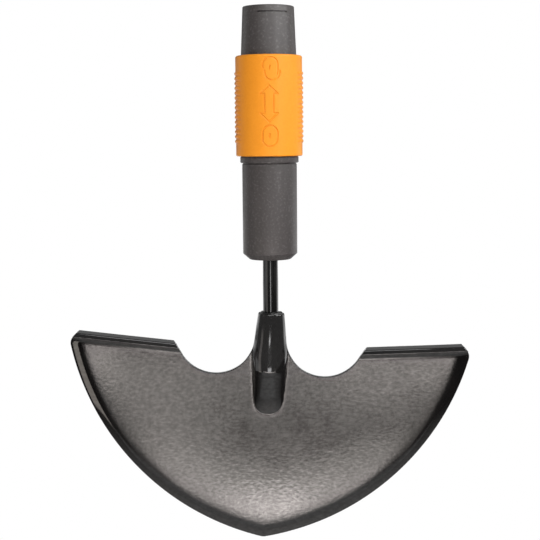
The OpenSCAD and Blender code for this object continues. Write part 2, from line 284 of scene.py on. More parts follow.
def make_piece(name: str, points: Grid, faces: list[list[int]], sharp: float = 35.0) -> Piece:
    """New mesh object from points in millimetres.

    Args:
        name: The piece's name.
        points: One row of three numbers for each point.
        faces: Lists of point numbers.
        sharp: Angle in degrees above which an edge stays sharp.

    Returns:
        The object, linked to the scene.
    """
    mesh = bpy.data.meshes.new(name)
    mesh.from_pydata((np.asarray(points, dtype=np.float64) * MM).tolist(), [], faces)
    shape = bmesh.new()
    shape.from_mesh(mesh)
    bmesh.ops.remove_doubles(shape, verts=shape.verts, dist=MERGE_M)
    bmesh.ops.recalc_face_normals(shape, faces=shape.faces)
    if shape.calc_volume(signed=True) < 0:
        bmesh.ops.reverse_faces(shape, faces=shape.faces)
    shape.to_mesh(mesh)
    shape.free()
    mesh.shade_smooth()
    mesh.set_sharp_from_angle(angle=math.radians(sharp))
    piece = bpy.data.objects.new(name, mesh)
    bpy.context.collection.objects.link(piece)
    return piece


def turned(
    name: str,
    outline: Outline,
    angles: Optional[Grid] = None,
    relief: Optional[Field] = None,
    sharp: float = 35.0,
) -> Piece:
    """Piece turned about the socket's axis.

    Args:
        name: The piece's name.
        outline: Closed outline as radius and height.
        angles: Angles of the columns in radians.
        relief: Change of radius at angle, radius and height.
        sharp: Angle in degrees above which an edge stays sharp.

    Returns:
        The turned object.
    """
    if angles is None:
        angles = full_turn(144)
    radius, height = (np.array(side)[:, None] for side in zip(*outline))
    theta = angles[None, :]
    if relief is not None:
        radius = radius + relief(theta, radius, height)
    faces = grid_faces(len(outline), len(angles))
    return make_piece(name, polar(radius, theta, height), faces, sharp)


def carve(target: Piece, cutters: Sequence[Piece]) -> None:
    """Cuts other objects out of a piece and deletes them.

    Args:
        target: The piece that is cut.
        cutters: Closed objects that are taken away from it.
    """
    for cutter in cutters:
        cut = target.modifiers.new(cutter.name, "BOOLEAN")
        cut.operation = "DIFFERENCE"
        cut.solver = "EXACT"
        cut.object = cutter
    graph = bpy.context.evaluated_depsgraph_get()
    mesh = bpy.data.meshes.new_from_object(target.evaluated_get(graph))
    target.modifiers.clear()
    target.data = mesh
    mesh.name = target.name
    for cutter in cutters:
        bpy.data.objects.remove(cutter)
    mesh.shade_smooth()
    mesh.set_sharp_from_angle(angle=math.radians(CARVE_SHARP))


def keyway_cutter(name: str, reach: Pair, half: float, rise: Pair, turn: float) -> Piece:
    """Upright cutter with a rectangle for its plan.

    Args:
        name: The cutter's name.
        reach: Distances of its inner and outer side from the axis.
        half: Half its width.
        rise: Heights of its lower and upper face.
        turn: Angle about the axis in degrees.

    Returns:
        The cutter.
    """
    inner, outer = reach
    plan = ((inner, -half), (outer, -half), (outer, half), (inner, half))
    spin = Matrix.Rotation(math.radians(turn), 3, "Z")
    points = [spin @ Vector((x, y, z)) for z in rise for x, y in plan]
    return make_piece(name, np.array(points), capped_faces(len(rise), len(plan)))


def slopes(field: Field, points: Grid) -> Grid:
    """Gradient of a field at points.

    Args:
        field: The field.
        points: One row of three numbers for each point.

    Returns:
        One row of three slopes for each point.
    """
    result = np.empty_like(points)
    for axis in range(3):
        ahead, behind = points.copy(), points.copy()
        ahead[:, axis] += PROBE
        behind[:, axis] -= PROBE
        result[:, axis] = (field(*ahead.T) - field(*behind.T)) / (2 * PROBE)
    return result


def surface_net(field: Field, axes: Sequence[Grid]) -> tuple[Grid, Grid]:
    """Closed quad mesh where a distance field is zero.

    Args:
        field: Distance field, negative inside.
        axes: Borders of the cells along each axis, in rising order.

    Returns:
        The points and the quads.
    """
    borders = np.meshgrid(*(axis.astype(np.float32) for axis in axes), indexing="ij")
    inside = field(*borders) < 0
    cells = tuple(size - 1 for size in inside.shape)
    count = np.zeros(cells, np.int8)
    for corner in np.ndindex(2, 2, 2):
        count += inside[tuple(slice(c, c + n) for c, n in zip(corner, cells))]
    crossed = (count > 0) & (count < 8)
    number = np.full(cells, -1)
    number[crossed] = np.arange(crossed.sum())
    places = np.argwhere(crossed).T
    cell = np.stack([np.diff(axis)[place] for axis, place in zip(axes, places)], -1)
    points = np.stack([axis[place] for axis, place in zip(axes, places)], -1) + cell / 2
    longest = LONGEST_PUSH * cell
    for _ in range(NET_PASSES):
        slope = slopes(field, points)
        push = field(*points.T) / np.maximum((slope**2).sum(1), LEAST_GRADE)
        points -= np.clip(push[:, None] * slope, -longest, longest)
    quads = []
    for axis in range(3):
        first = [slice(1, -1)] * 3
        first[axis] = slice(0, -1)
        second = list(first)
        second[axis] = slice(1, None)
        here, there = inside[tuple(first)], inside[tuple(second)]
        spots = np.argwhere(here != there)
        base = spots + np.array([int(i != axis) for i in range(3)])
        ring = []
        for a, b in ((-1, -1), (0, -1), (0, 0), (-1, 0)):
            shift = np.zeros(3, int)
            shift[(axis + 1) % 3], shift[(axis + 2) % 3] = a, b
            ring.append(number[tuple((base + shift).T)])
        quad = np.stack(ring, 1)
        outward = here[tuple(spots.T)]
        quads.append(np.where(outward[:, None], quad, quad[:, ::-1]))
    return points, np.concatenate(quads)


# Finishes


class Graph:
    """Node tree, with short calls that add and join nodes."""

    def __init__(self, tree: bpy.types.NodeTree) -> None:
        """Takes the tree that the nodes are added to."""
        self.nodes, self.links = tree.nodes, tree.links

    def add(self, kind: str, *sources: Optional[Plug], **options: str) -> bpy.types.Node:
        """New node with its first inputs joined.

        Args:
            kind: The node's type, without its prefix.
            sources: Outputs for its inputs in order, with None for one that stays free.
            options: Settings of the node.

        Returns:
            The node.
        """
        node = self.nodes.new("ShaderNode" + kind)
        for name, value in options.items():
            setattr(node, name, value)
        for source, socket in zip(sources, node.inputs):
            if source is not None:
                self.links.new(source, socket)
        return node

    def math(self, op: Op, a: Plug, b: Plug) -> Plug:
        """Result of an operation on two values."""
        return self.add("Math", a, b, operation=op.value).outputs[0]

    def spread(
        self, value: Plug, ends: Pair, reach: Pair = NOISE_REACH, run: Run = Run.STRAIGHT
    ) -> Plug:
        """Maps a value from its reach to two ends.

        Args:
            value: What is mapped.
            ends: The result at the start and at the end of the reach.
            reach: Where the change starts and ends.
            run: How the result runs between the ends.

        Returns:
            The result.
        """
        node = self.add("MapRange", value, interpolation_type=run.value)
        for socket, number in zip(node.inputs[1:5], (*reach, *ends)):
            socket.default_value = number
        return node.outputs[0]

    def seen(self, *kinds: str) -> Plug:
        """Mask that is 1 for some kinds of rays.

        Args:
            kinds: Names of the rays, such as Camera or Glossy.

        Returns:
            The mask.
        """
        path = self.add("LightPath")
        first, *others = (path.outputs[f"Is {kind} Ray"] for kind in kinds)
        for other in others:
            first = self.math(Op.MAXIMUM, first, other)
        return first


class Coat(Graph):
    """Nodes of one material round its shader."""

    def __init__(self, name: str) -> None:
        """New material with a bare shader.

        Args:
            name: The material's name.
        """
        self.material = bpy.data.materials.new(name)
        self.material.use_nodes = True
        super().__init__(self.material.node_tree)
        self.shader = self.nodes["Principled BSDF"]

    def join(self, source: Plug, socket: str) -> None:
        """Joins an output to one of the shader's sockets."""
        self.links.new(source, self.shader.inputs[socket])

    def set(self, socket: str, value: object) -> None:
        """Writes a constant on one of the shader's sockets."""
        self.shader.inputs[socket].default_value = value

    def noise(self, scale: float, detail: float = 2.0, stretch: Triple = (1.0, 1.0, 1.0)) -> Plug:
        """Cloudy noise in the frame's metres.

        Args:
            scale: Features in a metre.
            detail: Octaves of finer noise.
            stretch: Factors on the three axes.

        Returns:
            The noise's value, about 0.5.
        """
        mapping = self.add("Mapping", self.add("TexCoord").outputs["Object"])
        mapping.inputs["Scale"].default_value = stretch
        texture = self.add("TexNoise", mapping.outputs[0])
        texture.inputs["Scale"].default_value = scale
        texture.inputs["Detail"].default_value = detail
        return texture.outputs[0]

    def tint(self, factor: Plug, dark: Union[Plug, Triple], light: Triple) -> Plug:
        """Colour between two others.

        Args:
            factor: 0 for the first colour and 1 for the second.
            dark: First colour, fixed or from another node.
            light: Second colour.

        Returns:
            The mixed colour.
        """
        node = self.add("Mix", factor, data_type="RGBA")
        first, second = node.inputs[6:8]
        if isinstance(dark, Plug):
            self.links.new(dark, first)
        else:
            first.default_value = (*dark, 1.0)
        second.default_value = (*light, 1.0)
        return node.outputs[2]

    def masked(self, value: Plug, attribute: str) -> Plug:
        """Value that counts only where a point attribute of the mesh is 1."""
        mask = self.add("Attribute", attribute_name=attribute)
        return self.math(Op.MULTIPLY, value, mask.outputs["Fac"])

    def edges(self, reach: Pair) -> Plug:
        """Mask that is 1 on the outer edges of a dense mesh."""
        return self.spread(self.add("NewGeometry").outputs["Pointiness"], UNIT, reach)

    def bump(self, height: Plug, depth: float, under: Optional[Plug] = None) -> Plug:
        """Normal disturbed by a height.

        Args:
            height: Height from 0 to 1.
            depth: What a height of 1 stands for, in metres.
            under: A normal that this one lies on.

        Returns:
            The new normal.
        """
        node = self.add("Bump")
        node.inputs["Strength"].default_value = 1.0
        node.inputs["Distance"].default_value = depth
        self.links.new(height, node.inputs["Height"])
        if under is not None:
            self.links.new(under, node.inputs["Normal"])
        return node.outputs["Normal"]


@dataclass(frozen=True)
class PowderCoat:
    """Satin black powder coat with orange peel on its flats and painted shade in its colour."""

    name: str = "satin_powder_coat"
    dark: Triple = (0.005, 0.0047, 0.0047)
    light: Triple = (0.019, 0.018, 0.0175)
    smooth: float = 0.09
    rougher: Pair = (0.08, 0.14)
    rough_scale: float = 90.0
    specular: Pair = (0.57, 0.83)
    cloud_scale: float = 22.0
    cloud_share: float = 0.4
    peel_scale: float = 430.0
    peel_stretch: Triple = (1.0, 1.0, 1.5)
    peel_reach: Pair = (0.25, 0.65)
    peel_depth: float = 0.00006

    def material(self) -> Material:
        """Builds the coat's nodes.

        Returns:
            The material.
        """
        graph = Coat(self.name)
        peel = graph.masked(graph.noise(self.peel_scale, 2.0, self.peel_stretch), PEEL_AND_SHADE)
        cloud = graph.spread(graph.noise(self.cloud_scale), (0.0, self.cloud_share))
        # Painted shade: the colour follows the peel's height, lighter on its crests and darker in
        # its hollows. Where the mask is 0 (round the boss, under the treads and along the edge) this
        # part drops out and the coat stays darker. The cloud is random tone.
        grain = graph.spread(peel, (0.0, 1 - self.cloud_share), self.peel_reach)
        shade = graph.math(Op.ADD, cloud, grain)
        graph.join(graph.tint(shade, self.dark, self.light), "Base Color")
        flat = graph.masked(graph.spread(graph.noise(self.rough_scale, 3.0), self.rougher), PEEL_AND_SHADE)
        graph.join(graph.spread(flat, (self.smooth, self.smooth + 1.0), UNIT), "Roughness")
        mottle = graph.noise(self.peel_scale, 3.0, self.peel_stretch)
        graph.join(graph.spread(mottle, self.specular), "Specular IOR Level")
        graph.join(graph.bump(peel, self.peel_depth), "Normal")
        return graph.material


@dataclass(frozen=True)
class GlossEnamel:
    """Glossy black enamel with slight runs."""

    name: str = "gloss_enamel"
    dark: Triple = (0.005, 0.005, 0.005)
    light: Triple = (0.009, 0.009, 0.009)
    shade_scale: float = 60.0
    roughness: Pair = (0.06, 0.10)
    rough_scale: float = 240.0
    specular: float = 0.6
    run_scale: float = 75.0
    run_stretch: Triple = (1.0, 1.0, 0.6)
    run_depth: float = 0.000012

    def material(self) -> Material:
        """Builds the enamel's nodes.

        Returns:
            The material.
        """
        graph = Coat(self.name)
        shade = graph.noise(self.shade_scale)
        graph.join(graph.tint(shade, self.dark, self.light), "Base Color")
        graph.join(graph.spread(graph.noise(self.rough_scale, 3.0), self.roughness), "Roughness")
        graph.set("Specular IOR Level", self.specular)
        runs = graph.noise(self.run_scale, 1.0, self.run_stretch)
        graph.join(graph.bump(runs, self.run_depth), "Normal")
        return graph.material


@dataclass(frozen=True)
class Moulding:
    """Moulded plastic with a fine grain, small bright specks and rubbed edges."""

    name: str
    dark: Triple
    light: Triple
    rubbed: Triple
    roughness: Pair = (0.40, 0.50)
    rough_scale: float = 1500.0
    specular: float = 0.5
    sparkle: float = 1.9
    sparkle_reach: Pair = (0.56, 0.72)
    speck_scale: float = 800.0
    grain_depth: float = 0.00003
    flow_scale: float = 45.0
    flow_stretch: Triple = (1.0, 1.0, 0.35)
    flow_depth: float = 0.00004
    edge_reach: Pair = (0.52, 0.60)

    def material(self) -> Material:
        """Builds the moulding's nodes.

        Returns:
            The material.
        """
        graph = Coat(self.name)
        flow = graph.noise(self.flow_scale, 3.0, self.flow_stretch)
        speck = graph.noise(self.speck_scale, 3.0)
        half = (0.0, 0.5)
        shade = graph.math(Op.ADD, graph.spread(flow, half), graph.spread(speck, half))
        body = graph.tint(shade, self.dark, self.light)
        graph.join(graph.tint(graph.edges(self.edge_reach), body, self.rubbed), "Base Color")
        graph.join(graph.spread(graph.noise(self.rough_scale), self.roughness), "Roughness")
        gloss = (self.specular, self.sparkle * self.specular)
        graph.join(graph.spread(speck, gloss, self.sparkle_reach), "Specular IOR Level")
        soft = graph.bump(flow, self.flow_depth)
        graph.join(graph.bump(speck, self.grain_depth, soft), "Normal")
        return graph.material


@dataclass(frozen=True)
class PlatedSteel:
    """Bright metal with fine turning marks."""

    name: str
    dark: Triple
    light: Triple
    roughness: Pair
    mark_depth: float = 0.000006
    shade_scale: float = 300.0
    rough_scale: float = 700.0
    mark_scale: float = 900.0
    mark_stretch: Triple = (1.0, 1.0, 6.0)

    def material(self) -> Material:
        """Builds the metal's nodes.

        Returns:
            The material.
        """
        graph = Coat(self.name)
        shade = graph.spread(graph.noise(self.shade_scale, 3.0), UNIT)
        graph.join(graph.tint(shade, self.dark, self.light), "Base Color")
        graph.set("Metallic", 1.0)
        graph.join(graph.spread(graph.noise(self.rough_scale, 3.0), self.roughness), "Roughness")
        marks = graph.noise(self.mark_scale, 2.0, self.mark_stretch)
        graph.join(graph.bump(marks, self.mark_depth), "Normal")
        return graph.material


@dataclass(frozen=True)
class Finishes:
    """One material for each slot of the record."""

    blade: Material
    rod: Material
    grey: Material
    orange: Material
    plated: Material
    bush: Material
    ball: Material

    @classmethod
    def mixed(cls) -> "Finishes":
        """Mixes every finish once.

        Returns:
            The set of materials.
        """
        grey = Moulding(
            "grey_moulding", (0.038, 0.034, 0.0335), (0.068, 0.0605, 0.0600), (0.10, 0.095, 0.093)
        )
        orange = Moulding(
            "orange_moulding", (0.83, 0.275, 0.010), (0.90, 0.325, 0.016), (0.95, 0.42, 0.06),
            specular=0.35, sparkle=1.0,
        )
        acetal = Moulding(
            "natural_acetal", (0.66, 0.65, 0.61), (0.72, 0.71, 0.67), (0.78, 0.77, 0.74)
        )
        zinc = PlatedSteel("zinc_plate", (0.50, 0.51, 0.53), (0.62, 0.62, 0.62), (0.24, 0.40))
        bearing = PlatedSteel(
            "bearing_steel", (0.70, 0.70, 0.72), (0.76, 0.76, 0.77), (0.05, 0.10), 0.000001
        )
        kinds = (PowderCoat(), GlossEnamel(), grey, orange, zinc, acetal, bearing)
        return cls(*(kind.material() for kind in kinds))


def dress(piece: Piece, material: Material, body: Body, slot: Slot, *nodes: str) -> None:
    """Gives a new piece its finish and body, and hides the nodes that it stands for.

    Args:
        piece: The new piece.
        material: Its finish.
        body: The body that it rides on.
        slot: The record's slot of its finish; not used.
        nodes: CAD nodes that it replaces.
    """
    piece.data.materials.clear()
    piece.data.materials.append(material)
    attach(piece, body.value)
    if nodes:
        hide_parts(*nodes)
    LOG.info("piece %s: %d faces on %s", piece.name, len(piece.data.polygons), body.value)


def dress_node(node: str, material: Material) -> None:
    """Gives a CAD node that stays a better finish.

    Args:
        node: The node's name.
        material: The finish for all its slots.
    """
    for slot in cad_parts[node].material_slots:
        slot.material = material
    LOG.info("node %s: %s", node, material.name)


def levels(node: str) -> Pair:
    """Heights of a CAD node's bottom and top in millimetres."""
    bottom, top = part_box(node)
    return bottom[2] / MM, top[2] / MM


# Sub-assemblies


@dataclass
class Blade:
    """Pressed blade: bevelled sheet, folded treads, boss and rolled neck, with its two welds."""

    finishes: Finishes
    width: float = 225.0
    drop: float = 109.6
    arc_r: float = 145.0
    point_round: float = 0.6
    sheet: float = 3.0
    edge: float = 0.9
    bevel: float = 3.1
    bevel_round: float = 0.2
    shoulder: float = 3.2
    shoulder_slope: float = 0.27
    shoulder_limit: float = 4.0
    regain: float = 0.85
    pillow: float = 1.0
    pillow_reach: float = 38.0
    pillow_blend: float = 30.0
    pillow_limit: float = 1.1
    aside: float = 0.35
    rim: float = 0.2
    rim_reach: float = 1.6
    border_round: float = 0.4
    skew: float = 2.6
    wide_depth: float = 19.6
    tread_span: float = 108.4
    tread_fall: float = 3.7
    tread_depth: float = 15.0
    tread_lead: float = 0.17
    fold_r: float = 4.5
    fold_round: float = 0.3
    fillet: float = 5.6
    lip_tilt: float = 8.0
    lip_round: float = 0.8
    corner_in: float = 5.5
    corner_rise: float = 6.4
    corner_round: float = 2.4
    scallop_r: float = 22.0
    scallop_depth: float = 13.1
    scallop_round: float = 1.6
    housing_gap: float = 30.6
    neck_r: float = 7.4
    neck_len: float = 16.0
    neck_flare: Pair = (2.0, 0.15)
    mouth_round: float = 0.7
    back_round: float = 0.6
    seam: float = 1.2
    seam_past: float = 2.0
    seam_round: float = 0.5
    boss_r: float = 10.3
    boss_depth: float = 24.6
    boss_square: float = 2.4
    boss_fillet: float = 0.2
    boss_least: float = 0.3
    nose_start: float = 46.0
    nose_end: float = 62.0
    wall: float = 2.8
    room_round: float = 0.8
    rod_r: float = 4.3
    rod_gap: float = 0.3
    weld_r: float = 1.2
    weld_out: float = 0.75
    weld_sink: float = 0.15
    weld_flat: float = 0.8
    weld_grid: tuple[int, int] = (120, 18)
    toe_r: float = 4.4
    toe_depth: float = 42.0
    toe_front: float = 1.6
    toe_grid: tuple[int, int] = (25, 40)
    cell: float = 0.65
    fine_cell: float = 0.36
    fine_depth: float = 34.0
    spare: float = 2.4
    spare_top: float = 1.8
    spare_back: float = 1.2
    spare_front: float = 1.6
    # Reaches of the peel and shade mask: where it falls to 0 the coat's colour stays darker, painted
    # shade round the boss, under the treads and along the edge.
    flat_inset: Pair = (4.0, 8.0)
    flat_tread: Pair = (3.5, 6.0)
    flat_boss: Pair = (0.3, 1.2)

    def __post_init__(self) -> None:
        """Works out the outline's points and the neck's height from the driving sizes."""
        self.neck_z = levels("tang_housing")[0] - self.housing_gap
        self.turn = math.radians(self.skew)
        self.corner = Vector((self.width / 2, -self.wide_depth))
        tip = Vector((0.0, -self.wide_depth - self.drop))
        half = (self.corner - tip) / 2
        away = Vector((-half.y, half.x)).normalized() * math.sqrt(self.arc_r**2 - half.length**2)
        self.arc = tip + half + away
        self.tread_out = self.corner + Vector((-self.corner_in, self.corner_rise))
        self.tread_in = Vector((self.tread_span / 2, self.tread_out.y - self.tread_fall))
        side = float(curve(np.array(self.scallop_depth), self.boss_width()))
        self.scallop = Vector((side + self.scallop_r, -self.scallop_depth))
        reach = self.tread_in - self.scallop
        turn = math.atan2(reach.y, reach.x) - math.acos(self.scallop_r / reach.length)
        self.leave = self.scallop + self.scallop_r * Vector((math.cos(turn), math.sin(turn)))

    def mouth(self) -> Outline:
        """Knots of the neck at and above its mouth."""
        above, tighter = self.neck_flare
        return [(-above, self.neck_r - tighter), (0.0, self.neck_r)]

    def boss_width(self) -> Outline:
        """Half width of the boss against depth below the neck's mouth."""
        return self.mouth() + [
            (9.0, 8.4), (15.0, 9.0), (self.boss_depth, self.boss_r), (32.0, 10.0), (40.0, 9.45),
            (self.nose_start, 9.15), (self.nose_end, 9.1),
        ]

    def boss_height(self) -> Outline:
        """Height of the boss's front against depth below the neck's mouth."""
        return self.mouth() + [
            (6.0, 8.22), (12.0, 9.0), (18.0, 9.72), (self.boss_depth, 10.42), (31.6, 11.12),
            (32.0, 11.14), (32.4, 11.04), (36.0, 9.9), (self.nose_start, 6.9), (55.0, 4.3),
            (self.nose_end, 2.4),
        ]

    def arcs(self, u: Grid, w: Grid) -> tuple[Grid, Grid]:
        """Distances outside the right and the left cutting arc."""
        middles = (self.arc.x, -self.arc.x)
        return tuple(np.hypot(u - x, w - self.arc.y) - self.arc_r for x in middles)

    def tread_height(self, a: Grid, w: Grid) -> Grid:
        """Height above the tread's top line, square to it."""
        along = (self.tread_out - self.tread_in).normalized()
        return (w - self.tread_in.y) * along.x - (a - self.tread_in.x) * along.y

    def bent_sheet(self, t: Grid, f: Grid, front: Grid) -> Grid:
        """Distance to the sheet that folds forward into the tread.

        Args:
            t: Height above the tread's top line.
            f: Distance to the front.
            front: Distance to the blade's front face.

        Returns:
            The distance field of the folded sheet.
        """
        half, r = self.sheet / 2, self.fold_r
        bent = (t > -r) & (f < r)
        outer = np.where(bent, np.hypot(t + r, f - r) - r, np.maximum(-f, t))
        inner = smooth_min(front, -self.sheet - t, self.fillet)
        tilt = math.radians(self.lip_tilt)
        end = (f - self.tread_depth) * math.cos(tilt) + (t + half) * math.sin(tilt)
        lip = smooth_max(np.abs(t + half) - half, end, self.lip_round)
        folded = smooth_max(outer, inner, self.fold_round)
        return np.where(f > self.sheet + self.fillet, lip, folded)

    def scallop_cut(self, a: Grid, w: Grid) -> Grid:
        """Distance to the space that the scallop leaves open, negative in it.

        Args:
            a: Distance from the middle line.
            w: Place up from the neck's mouth.

        Returns:
            The distance field.
        """
        along = (self.tread_in - self.leave).normalized()
        out = (self.leave - self.scallop).normalized()
        du, dw = a - self.leave.x, w - self.leave.y
        arc = np.hypot(a - self.scallop.x, w - self.scallop.y) - self.scallop_r
        open_side = np.where(du * along.x + dw * along.y > 0, du * out.x + dw * out.y, arc)
        inner = (a < self.scallop.x) & (w > self.scallop.y)
        return np.where(inner, np.minimum(open_side, self.scallop.y - w), open_side)

    def plate(self, u: Grid, w: Grid, f: Grid, boss: Grid) -> Grid:
        """Distance to the flat blade with its bevel, treads, scallops and cut corners.

        Args:
            u: Place across.
            w: Place up from the neck's mouth.
            f: Place to the front.
            boss: Distance to the boss, which is stamped a little way into the sheet.

        Returns:
            The distance field.
        """
        a = np.abs(u)
        far_below = np.float32(-20.0)
        t = np.where(a < self.scallop.x, far_below, self.tread_height(a, w))
        right, left = self.arcs(u, w)
        outside = smooth_max(right, left, self.point_round) - self.regain
        inset = -outside
        dome = 1 + smooth_max(right, left, self.pillow_blend) / self.pillow_reach
        f = f + self.pillow * np.clip(dome, 0, self.pillow_limit) ** 2
        lost = self.shoulder_slope * self.shoulder
        past = np.minimum(self.bevel - inset, self.shoulder_limit)
        fall = lost * np.exp(past / self.shoulder)
        fall = fall + self.rim * np.exp(-np.maximum(boss, 0) / self.rim_reach)
        slope = (self.sheet - lost - self.edge) / self.bevel
        ground = (f - self.edge - inset * slope) / math.hypot(1, slope)
        front = smooth_max(f - self.sheet + fall, ground, self.bevel_round)
        cut = (self.tread_out - self.corner).normalized()
        corner = (a - self.corner.x) * cut.y - (w - self.corner.y) * cut.x - self.regain / 2
        border = smooth_max(outside, corner, self.corner_round)
        ahead = a + self.tread_lead * np.maximum(f - self.sheet, 0)
        border = smooth_max(border, -self.scallop_cut(ahead, w), self.scallop_round)
        return smooth_max(self.bent_sheet(t, f, front), border, self.border_round)

    def oval(self, u: Grid, w: Grid, f: Grid, thinner: float = 0.0) -> Grid:
        """Distance to the boss's round form.

        Args:
            u: Place across.
            w: Place up from the neck's mouth.
            f: Place to the front.
            thinner: How far the form lies inside the boss's skin.

        Returns:
            The distance field.
        """
        depth = -w
        b = curve(depth, self.boss_width()) - thinner
        h = np.maximum(curve(depth, self.boss_height()) - thinner, self.boss_least)
        run = self.nose_end - thinner - self.nose_start
        p = self.boss_square
        parts = (np.abs(u) / b, np.abs(f) / h, np.maximum(depth - self.nose_start, 0) / run)
        q = sum(part**p for part in parts) ** (1 / p)
        grades = (part ** (p - 1) / size for part, size in zip(parts, (b, h, run)))
        grade = np.sqrt(sum(grade**2 for grade in grades))
        return (q - 1) * q ** (p - 1) / np.maximum(grade, GUARD)

    def field(self, u: Grid, w: Grid, f: Grid) -> Grid:
        """Distance field of the whole pressing.

        Args:
            u: Place across.
            w: Place up from the neck's mouth.
            f: Place to the front.

        Returns:
            The distance, negative inside.
        """
        skin = smooth_max(self.oval(u, w, f), w, self.mouth_round)
        skin = smooth_max(skin, np.minimum(-f, -w - self.neck_len), self.back_round)
        solid = smooth_min(self.plate(u, w, f, skin), skin, self.boss_fillet)
        near_rod = self.neck_r - self.rod_r - self.rod_gap - self.wall
        tight = np.clip(1 + w / self.boss_depth, 0, 1) * near_rod
        room = self.oval(u, w, f, self.wall) + tight
        solid = smooth_max(solid, -room, self.room_round)
        slit = np.maximum(np.abs(u) - self.seam / 2, f)
        slit = np.maximum(slit, -w - self.neck_len - self.seam_past)
        return smooth_max(solid, -slit, self.seam_round)

    def world(self, points: Grid) -> Grid:
        """Points of the blade's frame in the head's frame.

        Args:
            points: One row of three numbers for each point.

        Returns:
            The same points as x, y and z.
        """
        u, w, f = np.asarray(points, dtype=np.float64).T
        x, rise = spun(u, w, -self.turn)
        return np.stack((x + self.aside, -f, self.neck_z + rise), -1)

    def local(self, points: Grid) -> Grid:
        """Points of the head's frame in the blade's frame."""
        x, y, z = points.T
        return np.stack((*spun(x - self.aside, z - self.neck_z, self.turn), -y), -1)

    def build_sheet(self) -> Piece:
        """Nets the pressing's surface.

        Returns:
            The piece.
        """
        side = self.width / 2 + self.spare
        low = -self.wide_depth - self.drop - self.spare
        across = np.arange(-side, side, self.cell)
        coarse = np.arange(low, -self.fine_depth, self.cell)
        fine = np.arange(-self.fine_depth, self.spare_top, self.fine_cell)
        front = self.tread_depth + self.spare_front
        ahead = np.arange(-self.boss_r - self.spare_back, front, self.fine_cell)
        points, quads = surface_net(self.field, (across, np.concatenate((coarse, fine)), ahead))
        piece = make_piece("blade_pressing", self.world(points), quads.tolist(), sharp=180.0)
        points = self.local(np.array([vertex.co for vertex in piece.data.vertices]) / MM)
        normal = slopes(self.field, points)
        normal /= np.maximum(np.linalg.norm(normal, axis=1), GUARD)[:, None]
        normal = self.world(normal) - self.world(np.zeros((1, 3)))
        piece.data.normals_split_custom_set_from_vertices(normal.tolist())
        # Mask of the peel and of the painted shade in the coat's colour.
        peel = piece.data.attributes.new(PEEL_AND_SHADE, "FLOAT", "POINT")
        peel.data.foreach_set("value", self.peel_and_shade_mask(points))
        return piece

    def peel_and_shade_mask(self, points: Grid) -> Grid:
        """How far each point lies on the flat, away from the boss, the treads and the edge, which
        sets the peel and the painted shade of the coat's colour.

        Args:
            points: One row of three numbers for each point.

        Returns:
            A value from 0 to 1 for each point.
        """
        u, w, f = points.T
        flat = ease(-np.maximum(*self.arcs(u, w)), *self.flat_inset)
        flat = flat * ease(-self.tread_height(np.abs(u), w), *self.flat_tread)
        return (flat * ease(self.oval(u, w, f), *self.flat_boss)).astype(np.float32)

    def build_welds(self) -> Piece:
        """Lays the ring bead at the neck's mouth and the toe bead.

        Returns:
            The piece.
        """
        rows, columns = self.weld_grid
        theta, phi = full_turn(rows)[:, None], full_turn(columns)[None, :]
        wave = 0.10 * np.abs(np.sin(9 * theta + ripple(theta, 0.6, 3)))
        thick = self.weld_r * (0.92 + (wave + ripple(theta, 0.07, 5, 1.0)))
        ring = self.rod_r + self.weld_out + ripple(theta, 0.12, 4) + thick * np.cos(phi)
        rise = ripple(theta, 0.12, 7) - self.weld_sink + self.weld_flat * thick * np.sin(phi)
        bead = polar(ring, theta, rise)[:, (0, 2, 1)] * (1, 1, -1)
        faces = grid_faces(rows, columns)
        rows, columns = self.toe_grid
        lat, lon = np.linspace(0, np.pi, rows)[:, None], full_turn(columns)[None, :]
        lump = 1 + ripple(lon, 0.05, 5) * np.sin(3 * lat) + ripple(lat, 0.04, 9)
        lump = self.toe_r * lump
        toe = polar(lump * np.sin(lat), lon, lump * np.cos(lat))[:, (0, 2, 1)]
        toe = toe * (1, 1, self.weld_flat) + (0, -self.toe_depth, self.toe_front)
        faces += (np.array(grid_faces(rows, columns, False)) + len(bead)).tolist()
        points = self.world(np.concatenate((bead, toe)))
        return make_piece("neck_welds", points, faces, sharp=60.0)

    def assemble(self) -> None:
        """Builds and dresses the pressing and its welds."""
        dress(self.build_sheet(), self.finishes.blade, Body.HEAD, Slot.BLADE, "blade")
        dress(self.build_welds(), self.finishes.blade, Body.HEAD, Slot.BLADE, "weld_beads")


